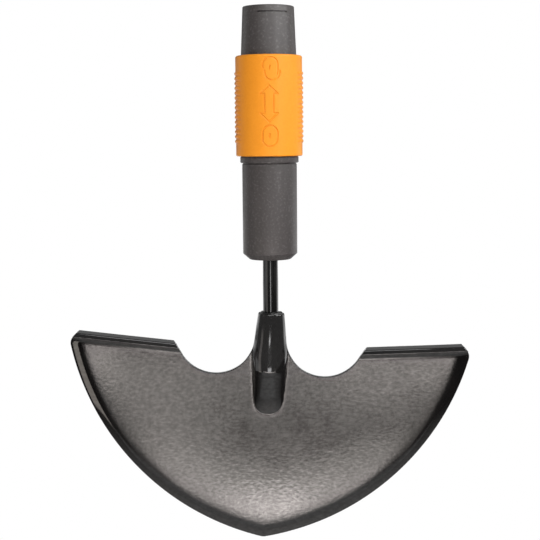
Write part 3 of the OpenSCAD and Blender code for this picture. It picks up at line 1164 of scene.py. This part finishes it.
@dataclass
class Tang:
    """Round rod with a threaded stud, and the nut that clamps it."""

    finishes: Finishes
    rod_r: float = 4.3
    stud_r: float = 3.0
    stud_cut: float = 0.5
    point_len: float = 12.0
    point_r: float = 2.4
    point_cut: float = 0.6
    key_top: float = -104.275
    key_cut: float = 0.3
    guard: float = 0.5
    thread_len: float = 16.0
    thread_row: float = 0.125
    thread_end: float = 0.55
    pitch: float = 1.0
    thread_deep: float = 0.45
    skin: float = 0.2
    nut_flats: float = 10.0
    nut_face: float = 0.97
    nut_slope: float = 30.0
    nut_hole: float = 3.1
    nut_lead: float = 0.5

    def thread(self, theta: Grid, r: Grid, z: Grid) -> Grid:
        """Screw thread as a change of the stud's radius.

        Args:
            theta: Angle about the axis in radians.
            r: Radius.
            z: Height.

        Returns:
            The change of radius.
        """
        top = levels("tang_rod")[1]
        turn = np.mod(z / self.pitch - theta / (2 * np.pi), 1.0)
        cut = self.thread_deep * (1 - np.abs(2 * turn - 1))
        zone = (z > top - self.thread_len) & (z < top - self.thread_end)
        return np.where(zone & (r > self.stud_r - self.skin), -cut, 0.0)

    def build_rod(self) -> Piece:
        """Turns the rod with its point and stud.

        Returns:
            The piece.
        """
        low, top = levels("tang_rod")
        base, shoulder = low + self.point_len, self.key_top - self.key_cut
        rows = np.arange(top - self.thread_len - self.pitch, top - self.stud_cut, self.thread_row)
        outline = [
            (0.0, low), (self.point_r - self.point_cut, low), (self.point_r, low + self.point_cut),
            (self.rod_r, base), (self.rod_r, base + self.guard),
            (self.rod_r, shoulder - self.guard), (self.rod_r, shoulder),
            (self.rod_r - self.key_cut, self.key_top),
            (self.stud_r, self.key_top), *((self.stud_r, z) for z in rows),
            (self.stud_r, top - self.stud_cut), (self.stud_r - self.stud_cut, top), (0.0, top),
        ]
        return turned("tang_bar", outline, full_turn(72), self.thread, sharp=40.0)

    def build_nut(self) -> Piece:
        """Builds the chamfered hexagon nut.

        Returns:
            The piece.
        """
        low, top = levels("tang_nut")
        theta = full_turn(96)
        flat = self.nut_flats / 2
        outer = flat / np.cos(np.mod(theta + np.pi / 6, np.pi / 3) - np.pi / 6)
        plain, hole = flat * self.nut_face, self.nut_hole
        lead = hole + self.nut_lead
        fall = (outer - plain) * math.tan(math.radians(self.nut_slope))
        rows = [
            (hole, low + self.nut_lead), (lead, low), (plain, low), (outer, low + fall),
            (outer, top - fall), (plain, top), (lead, top), (hole, top - self.nut_lead),
        ]
        points = [polar(r * np.ones_like(theta), theta, z) for r, z in rows]
        faces = grid_faces(len(rows), len(theta))
        return make_piece("clamp_nut", np.concatenate(points), faces, sharp=25.0)

    def assemble(self) -> None:
        """Builds and dresses the rod, the nut and the washers."""
        dress(self.build_rod(), self.finishes.rod, Body.HEAD, Slot.ROD, "tang_rod")
        dress(self.build_nut(), self.finishes.plated, Body.HEAD, Slot.PLATED, "tang_nut")
        for node in ("clamp_disc", "tang_washer"):
            dress_node(node, self.finishes.plated)


@dataclass
class Socket:
    """Two grey mouldings: the housing that holds the tang and the tube that takes the handle."""

    finishes: Finishes
    housing_r: float = 15.2
    flange_r: float = 16.2
    flange_h: float = 3.65
    undercut: float = 0.35
    end_cut_r: float = 3.7
    end_cut_h: float = 3.3
    spigot_r: float = 12.3
    spigot_gap: float = 0.1
    stud_hole: float = 3.1
    rod_hole: float = 4.4
    rod_lead: float = 0.6
    step_z: float = -104.2
    mouth_r: float = 14.175
    mouth_lead: float = 1.0
    land_r: float = 15.3
    tube_r: float = 14.229
    bore_r: float = 11.75
    pilot_r: float = 10.75
    ledge_r: float = 9.85
    ledge_h: float = 3.0
    bore_len: float = 46.0
    groove_z: float = -2.8
    groove_h: float = 0.85
    groove_wall: float = 0.02
    groove_sink: float = 0.8
    groove_arc: float = 69.0
    groove_start: float = -115.0
    skin: float = 0.1
    key_reach: Pair = (8.0, 12.75)
    key_half: float = 2.5
    key_top: float = 3.0
    key_turn: int = 90
    track_reach: Pair = (13.1, 16.0)
    track_half: float = 2.2
    track_top: float = -60.5
    track_past: float = 1.0
    track_turns: tuple[int, ...] = (45, 225)
    ball_z: float = -58.0
    ball_cone: tuple[Pair, Pair] = ((8.0, 2.3), (18.0, 2.62))
    ball_sides: int = 32
    ball_turns: tuple[int, ...] = (0, 90, 180, 270)

    def build_housing(self) -> Piece:
        """Turns the housing with its flange, undercut and chamfered end.

        Returns:
            The piece.
        """
        low, top = levels("tang_housing")
        floor = levels("lock_tube")[0] - self.spigot_gap
        under, neck = top - self.flange_h, self.housing_r - self.undercut
        seat, lead = self.spigot_r + self.spigot_gap, self.rod_lead
        corners = [
            (seat, top, 0.3), (self.flange_r, top, 0.8), (self.flange_r, under, 0.8),
            (neck, under, 0.2), (neck, under - 0.5, 0.2), (self.housing_r, under - 0.7, 0.25),
            (self.housing_r, low + self.end_cut_h, 0.5),
            (self.housing_r - self.end_cut_r, low, 0.6), (self.rod_hole + lead, low, 0.3),
            (self.rod_hole, low + lead, 0.2),
            (self.rod_hole, self.step_z, 0.0), (self.stud_hole, self.step_z, 0.0),
            (self.stud_hole, floor, 0.0), (seat, floor, 0.0),
        ]
        return turned("rod_housing", rounded(corners))

    def groove(self, theta: Grid, r: Grid, z: Grid) -> Grid:
        """Two short grooves at the mouth as a change of radius.

        Args:
            theta: Angle about the axis in radians.
            r: Radius.
            z: Height.

        Returns:
            The change of radius.
        """
        turn = np.mod(theta - math.radians(self.groove_start), np.pi)
        zone = (turn < math.radians(self.groove_arc)) & (r > self.mouth_r - self.skin)
        near = np.abs(z - self.groove_z) < self.groove_h / 2
        return np.where(zone & near, -self.groove_sink, 0.0)

    def tube_outline(self) -> Outline:
        """Outline of the tube, with close rows at the grooves' walls.

        Returns:
            The closed outline.
        """
        low, top = levels("lock_tube")
        tops = ("spring_washer", "lock_collar", "tang_housing")
        step, land, stop = (levels(node)[1] for node in tops)
        ledge, deep = low + self.ledge_h, -self.bore_len
        outline = rounded([
            (self.bore_r + self.mouth_lead, top, 0.25), (self.mouth_r, top, 0.7),
            (self.land_r, land, 4.0), (self.land_r, step, 0.3), (self.tube_r, step, 0.2),
            (self.tube_r, stop, 0.3), (self.spigot_r, stop, 0.2), (self.spigot_r, low, 0.4),
            (self.ledge_r, low, 0.2), (self.ledge_r, ledge, 0.2), (self.pilot_r, ledge, 0.2),
            (self.pilot_r, deep, 0.4), (self.bore_r, deep, 0.4), (self.bore_r, 0.0, 0.4),
        ])
        half, wall = self.groove_h / 2, self.groove_wall
        rows = [self.groove_z + off for off in (half + wall, half - wall, wall - half, -half - wall)]
        taper = (self.land_r - self.mouth_r) / (top - land)
        walls = [(self.mouth_r + taper * (top - z), z) for z in rows]
        below = (r > self.mouth_r and z < self.groove_z for r, z in outline)
        first = list(below).index(True)
        return outline[:first] + walls + outline[first:]

    def build_tube(self) -> Piece:
        """Turns the tube and cuts its keyways and ball holes.

        Returns:
            The piece.
        """
        piece = turned("handle_tube", self.tube_outline(), full_turn(240), self.groove)
        rise = (-self.bore_len, self.key_top)
        cutters = [keyway_cutter("key_cut", self.key_reach, self.key_half, rise, self.key_turn)]
        rise = (levels("tang_housing")[1] - self.track_past, self.track_top)
        for turn in self.track_turns:
            name = f"bush_cut_{turn}"
            cutters.append(keyway_cutter(name, self.track_reach, self.track_half, rise, turn))
        carve(piece, cutters + [self.ball_cutter(turn) for turn in self.ball_turns])
        return piece

    def ball_cutter(self, turn: int) -> Piece:
        """Cone that cuts one ball's hole.

        Args:
            turn: Angle about the axis in degrees.

        Returns:
            The cutter.
        """
        phi = full_turn(self.ball_sides)
        ends = [(np.full_like(phi, x), r * np.cos(phi), r * np.sin(phi)) for x, r in self.ball_cone]
        x, y, z = np.concatenate(ends, axis=1)
        points = np.stack((*spun(x, y, math.radians(turn)), z + self.ball_z), -1)
        return make_piece(f"ball_cut_{turn}", points, capped_faces(len(ends), len(phi)))

    def assemble(self) -> None:
        """Builds and dresses the housing and the tube."""
        dress(self.build_housing(), self.finishes.grey, Body.HEAD, Slot.GREY, "tang_housing")
        dress(self.build_tube(), self.finishes.grey, Body.HEAD, Slot.GREY, "lock_tube")


@dataclass
class LockCollar:
    """Orange sliding collar with side ribs and engraved lock signs."""

    finishes: Finishes
    radius: float = 18.425
    lip_r: float = 15.5
    lip_h: float = 5.0
    bore_r: float = 16.839
    round_r: float = 1.1
    rib_count: int = 15
    rib_pitch: float = 2.65
    rib_proud: float = 0.58
    rib_r: float = 1.1
    rib_depth: float = 9.7
    rib_end: Pair = (19.0, 33.0)
    row: float = 0.22
    stroke: float = 0.36
    stroke_soft: float = 0.12
    deep: float = 0.55
    arrow_tips: Pair = (-42.5, -62.0)
    arrow_heads: Pair = (-46.9, -57.4)
    arrow_half: float = 4.9
    shaft_half: float = 2.5
    sign_r: float = 4.15
    sign_half: float = 1.5
    hole_at: Pair = (-0.3, 0.9)
    hole_r: float = 0.45
    slot_low: float = -1.2
    slot_r: float = 0.1
    locked_at: Pair = (0.5, -69.6)
    open_at: Pair = (0.8, -33.0)
    open_shift: float = 1.1
    open_low: float = -0.4
    open_side: float = 0.6
    skin: float = 0.01

    def arrow(self, x: Grid, z: Grid) -> Grid:
        """Distance to the double arrow's outline.

        Args:
            x: Place across the collar.
            z: Height on the collar.

        Returns:
            The distance.
        """
        (top, bottom), (head, lower) = self.arrow_tips, self.arrow_heads
        wide, shaft = self.arrow_half, self.shaft_half
        corners = [
            (0, top), (wide, head), (shaft, head), (shaft, lower), (wide, lower), (0, bottom),
            (-wide, lower), (-shaft, lower), (-shaft, head), (-wide, head),
        ]
        return np.abs(polygon_distance(corners, x, z))

    def lock_sign(self, x: Grid, z: Grid, middle: Pair, parted: float = 0.0) -> Grid:
        """Distance to a round lock sign's strokes.

        Args:
            x: Place across the collar.
            z: Height on the collar.
            middle: Place of the sign's middle.
            parted: How far its open half is shifted aside, or 0 for a closed lock.

        Returns:
            The distance to the nearest stroke's middle line.
        """
        wide, tall = self.sign_r, self.sign_half
        dx, dz = x - middle[0], z - middle[1]
        upper = np.abs(np.hypot(dx, dz - np.clip(dz, -tall, tall)) - wide)
        if parted:
            kept = (dz > self.open_low) | (dx > wide - self.open_side)
            lower = np.abs(np.hypot(dx - parted, dz - np.clip(dz, -tall - parted, tall)) - wide)
            lower = np.where(dz < -tall, lower, np.inf)
            upper = np.minimum(np.where(kept, upper, np.inf), lower)
        hole_x, hole_z = self.hole_at
        eye = np.hypot(dx - hole_x, dz - hole_z) - self.hole_r
        slot = np.hypot(dx - hole_x, dz - np.clip(dz, self.slot_low, hole_z)) - self.slot_r
        return np.minimum(upper, np.minimum(eye, slot) + self.stroke)

    def relief(self, theta: Grid, r: Grid, z: Grid) -> Grid:
        """Ribs and engraved signs as a change of the outer radius.

        Args:
            theta: Angle about the axis in radians.
            r: Radius.
            z: Height.

        Returns:
            The change of radius.
        """
        first = levels("lock_collar")[1] - self.rib_depth
        off = np.abs(np.mod(theta + np.pi / 2, np.pi) - np.pi / 2)
        number = np.clip(np.round((first - z) / self.rib_pitch), 0, self.rib_count - 1)
        dz = z - first + number * self.rib_pitch
        start, end = (math.radians(angle) for angle in self.rib_end)
        lower = self.rib_proud * np.clip((off - start) / (end - start), 0, 2) ** 2
        rib = np.sqrt(np.maximum(self.rib_r**2 - dz**2, 0)) - self.rib_r + self.rib_proud - lower
        x = self.radius * (np.mod(theta + np.pi, 2 * np.pi) - np.pi / 2)
        x, height = np.broadcast_arrays(x, z)
        signs = np.minimum(self.arrow(x, height), self.lock_sign(x, height, self.locked_at))
        signs = np.minimum(signs, self.lock_sign(x, height, self.open_at, self.open_shift))
        soft = self.stroke_soft
        cut = self.deep * (1 - ease(signs, self.stroke - soft, self.stroke + soft))
        return np.where(r > self.radius - self.skin, np.maximum(rib, 0) - cut, 0.0)

    def columns(self) -> Grid:
        """Angles of the columns, dense at the signs and the ribs' ends."""
        zones = ((-110, -70, 0.45), (-70, 70, 1.4), (70, 110, 2.5), (110, 250, 1.4))
        return np.radians(np.concatenate([np.arange(*zone) for zone in zones]))

    def build(self) -> Piece:
        """Turns the collar with its relief.

        Returns:
            The piece.
        """
        low, top = levels("lock_collar")
        corners = [
            (self.lip_r, top, 0.5), (self.radius, top, self.round_r),
            (self.radius, low, self.round_r), (self.bore_r, low, 0.4),
            (self.bore_r, top - self.lip_h, 0.2), (self.lip_r, top - self.lip_h, 0.2),
        ]
        outline = rounded(corners, 7)
        high, deep = top - self.round_r, low + self.round_r
        count = int((top - low - 2 * self.round_r) / self.row)
        wall = [(self.radius, z) for z in np.linspace(high, deep, count)[1:-1]]
        last = next(i for i, (r, _) in enumerate(outline) if r > self.radius - self.skin) + 1
        outline = outline[:last] + wall + outline[last:]
        return turned("slide_collar", outline, self.columns(), self.relief, sharp=50.0)

    def assemble(self) -> None:
        """Builds and dresses the collar and the rings in it."""
        dress(self.build(), self.finishes.orange, Body.COLLAR, Slot.ORANGE, "lock_collar")
        dress_node("cam_ring", self.finishes.plated)
        dress_node("collar_bush", self.finishes.bush)


@dataclass
class LockWorks:
    """Spring, its washer and the four balls of the lock."""

    finishes: Finishes
    spring_r: float = 15.534
    wire_r: float = 0.7
    wire_sides: int = 14
    turns: float = 7.0
    turn_steps: int = 48
    dead: float = 0.9
    closed: float = 1.02
    gap_top: float = 0.05
    gap_low: float = 0.1
    travel: float = 10.0
    ball_count: int = 4

    def build_spring(self) -> Piece:
        """Winds the spring with closed ends.

        Returns:
            The piece.
        """
        top = levels("spring_washer")[0] - self.wire_r - self.gap_top
        low = levels("cam_ring")[1] + self.wire_r + self.gap_low
        count = int(self.turns * self.turn_steps)
        turn = np.linspace(0, self.turns, count)
        closed = 2 * self.wire_r * self.closed
        active = (top - low - 2 * self.dead * closed) / (self.turns - 2 * self.dead)
        pitch = np.where((turn < self.dead) | (turn > self.turns - self.dead), closed, active)
        fall = np.concatenate(([0.0], np.cumsum(np.diff(turn) * (pitch[1:] + pitch[:-1]) / 2)))
        z = top - fall * (top - low) / fall[-1]
        theta = (2 * np.pi * turn)[:, None]
        phi = full_turn(self.wire_sides)[None, :]
        ring = self.spring_r + self.wire_r * np.cos(phi)
        points = polar(ring, theta, z[:, None] + self.wire_r * np.sin(phi))
        faces = capped_faces(count, self.wire_sides)
        return make_piece("return_spring", points, faces, sharp=50.0)

    def assemble(self) -> None:
        """Builds and dresses the spring, the washer and the balls."""
        spring = self.build_spring()
        dress(spring, self.finishes.plated, Body.HEAD, Slot.PLATED, "collar_spring")
        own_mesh(spring)
        dress_node("spring_washer", self.finishes.plated)
        for number in range(1, self.ball_count + 1):
            dress_node(f"lock_ball_{number}", self.finishes.ball)


# Studio


@dataclass(frozen=True)
class Lamp:
    """One softbox: place and aim in millimetres, size in millimetres and power in watts."""

    name: str
    place: Triple
    aim: Triple
    size: Pair
    power: float
    tint: Triple = (1.0, 1.0, 1.0)

    def hang(self) -> None:
        """Adds the softbox to the scene."""
        light = bpy.data.lights.new(self.name, "AREA")
        light.shape = "RECTANGLE"
        light.size, light.size_y = self.size[0] * MM, self.size[1] * MM
        light.energy = self.power
        light.color = self.tint
        lamp = bpy.data.objects.new(self.name, light)
        lamp.location = Vector(self.place) * MM
        away = Vector(self.aim) - Vector(self.place)
        lamp.rotation_euler = away.to_track_quat("-Z", "Y").to_euler()
        lamp.visible_camera = False
        bpy.context.collection.objects.link(lamp)


@dataclass
class Studio:
    """Pale floor, white surroundings, softboxes and the camera."""

    target: Triple = (-0.23, 0.0, -144.4)
    distance: float = 700.0
    elevation: float = 6.0
    roll: float = -0.5
    lens: float = 83.14
    sensor: float = 36.0
    clip_m: Pair = (0.01, 50.0)
    floor_size: float = 9000.0
    floor_shade: float = 0.70
    floor_rough: float = 0.9
    floor_glow: float = 0.04
    floor_drop: float = 420.0
    fade_m: Pair = (0.75, 1.25)
    room: float = 0.22
    behind: float = 0.18
    facing: Pair = (0.1, 0.9)
    horizon: Pair = (-0.02, 0.12)
    dim: float = 0.24
    lamps: tuple[Lamp, ...] = (
        Lamp("key_right", (600, -420, 400), (0, 0, -90), (420, 420), 1.8),
        Lamp("side_right", (750, -150, 300), (0, 0, -90), (300, 500), 2.7),
        Lamp("front_right", (480, -600, 180), (0, 0, -90), (260, 360), 1.95),
        Lamp("front_top", (0, -640, 330), (0, 0, -90), (400, 300), 1.95),
        Lamp("side_left", (-720, -150, -270), (0, 0, -160), (520, 130), 0.15),
        Lamp("low_left", (-553, -403, -430), (-80, 0, -220), (260, 260), 0.5, (1.0, 0.93, 0.84)),
        Lamp("back_left", (-600, 380, 60), (0, 0, -120), (300, 500), 0.35),
        Lamp("back_right", (600, 380, -100), (0, 0, -120), (300, 500), 0.45),
        Lamp("back_strip", (0, 600, -190), (0, 0, -190), (1100, 60), 0.3),
        Lamp("left_bar", (-560, -420, -190), (0, 0, -170), (240, 180), 0.12, (1.0, 0.93, 0.88)),
        Lamp("boss_spot", (-18, -600, -136), (0, 0, -180), (44, 16), 0.02),
        Lamp("rod_bar", (8, -600, -230), (0, 0, -150), (100, 66), 0.11),
        Lamp("tongue_low", (0, -480, -610), (0, 0, -220), (900, 150), 0.16),
    )
    panel_x: tuple[float, ...] = (-220.0, -110.0, 0.0, 110.0, 220.0)
    panel_z: tuple[float, ...] = (-290.0, -350.0, -410.0, -470.0, -530.0)
    panel_y: float = -480.0
    panel_size: Pair = (108.0, 60.0)
    panel_tint: Triple = (1.0, 0.925, 0.885)
    panel_powers: tuple[tuple[float, ...], ...] = (
        (0.135, 0.078, 0.056, 0.115, 0.145),
        (0.019, 0.053, 0.004, 0.008, 0.022),
        (0.016, 0.107, 0.056, 0.105, 0.014),
        (0.010, 0.106, 0.305, 0.114, 0.018),
        (0.005, 0.023, 0.070, 0.018, 0.000),
    )

    def panels(self) -> list[Lamp]:
        """Low front bank of small softboxes that the blade's face mirrors.

        Returns:
            The softboxes.
        """
        bank = []
        for row, (z, powers) in enumerate(zip(self.panel_z, self.panel_powers)):
            for column, (x, power) in enumerate(zip(self.panel_x, powers)):
                if power:
                    name, place, aim = f"panel_{row}{column}", (x, self.panel_y, z), (x, 0, z)
                    bank.append(Lamp(name, place, aim, self.panel_size, power, self.panel_tint))
        return bank

    def build_world(self) -> None:
        """Lights the surroundings: a white backdrop behind, a dark room in front and dim light."""
        world = bpy.data.worlds.new("studio_world")
        world.use_nodes = True
        graph = Graph(world.node_tree)
        split = graph.add("SeparateXYZ", graph.add("TexCoord").outputs["Generated"])
        glow = graph.spread(split.outputs["Y"], (0.0, self.behind), self.facing, Run.SOFT)
        low = graph.spread(split.outputs["Z"], (1.0, 0.0), self.horizon, Run.SOFT)
        shade = graph.spread(graph.math(Op.MULTIPLY, glow, low), (self.room, 1.0), UNIT)
        mirrored = graph.seen("Glossy", "Transmission")
        mix = graph.add("MapRange", mirrored, None, None, None, shade)
        mix.inputs["To Min"].default_value = self.dim
        white = graph.math(Op.MAXIMUM, mix.outputs[0], graph.seen("Camera"))
        sky = graph.nodes["Background"]
        graph.links.new(white, sky.inputs["Strength"])
        sky.inputs["Color"].default_value = WHITE
        bpy.context.scene.world = world

    def build_floor(self) -> None:
        """Lays the pale floor below the head, which its handle holds up."""
        half = self.floor_size / 2
        low = CAD_BOX[0][2] / MM - self.floor_drop
        corners = [(-half, -half, low), (half, -half, low), (half, half, low), (-half, half, low)]
        floor = make_piece("studio_floor", np.array(corners), [[0, 1, 2, 3]])
        graph = Coat("pale_floor")
        graph.set("Roughness", self.floor_rough)
        graph.set("Specular IOR Level", 0.0)
        graph.set("Emission Color", WHITE)
        place = graph.add("NewGeometry").outputs["Position"]
        away = graph.add("VectorMath", place, operation="LENGTH").outputs["Value"]
        depth = graph.add("SeparateXYZ", place).outputs["Y"]
        pale = graph.spread(away, (self.floor_shade, 0.0), self.fade_m, Run.SOFT)
        graph.join(pale, "Base Color")
        near = graph.spread(away, (self.floor_glow, 1.0), self.fade_m, Run.SOFT)
        plain = graph.math(Op.MULTIPLY, near, graph.seen("Camera"))
        far = graph.spread(depth, UNIT, self.fade_m, Run.SOFT)
        back = graph.math(Op.MULTIPLY, far, graph.seen("Glossy", "Transmission"))
        graph.join(graph.math(Op.MAXIMUM, plain, back), "Emission Strength")
        floor.data.materials.append(graph.material)

    def build_camera(self) -> None:
        """Sets the camera at the photo's angle."""
        data = bpy.data.cameras.new("photo_camera")
        data.lens = self.lens
        data.sensor_width = self.sensor
        data.clip_start, data.clip_end = self.clip_m
        camera = bpy.data.objects.new("photo_camera", data)
        tilt = math.radians(self.elevation)
        back = Vector((0.0, -math.cos(tilt), math.sin(tilt)))
        camera.location = (Vector(self.target) + back * self.distance) * MM
        roll = Matrix.Rotation(math.radians(self.roll), 3, "Z")
        camera.rotation_euler = (back.to_track_quat("Z", "Y").to_matrix() @ roll).to_euler()
        bpy.context.collection.objects.link(camera)
        bpy.context.scene.camera = camera

    def assemble(self) -> None:
        """Builds the whole studio."""
        self.build_camera()
        self.build_world()
        self.build_floor()
        lamps = [*self.lamps, *self.panels()]
        for lamp in lamps:
            lamp.hang()
        bpy.context.scene.view_settings.view_transform = "Standard"
        LOG.info("studio: %d softboxes", len(lamps))


def main() -> None:
    """Builds the studio and every sub-assembly in order."""
    logging.basicConfig(level=logging.INFO, format="%(message)s")
    Studio().assemble()
    finishes = Finishes.mixed()
    for assembly in (Blade, Tang, Socket, LockCollar, LockWorks):
        assembly(finishes).assemble()


if __name__ == "__main__":
    main()
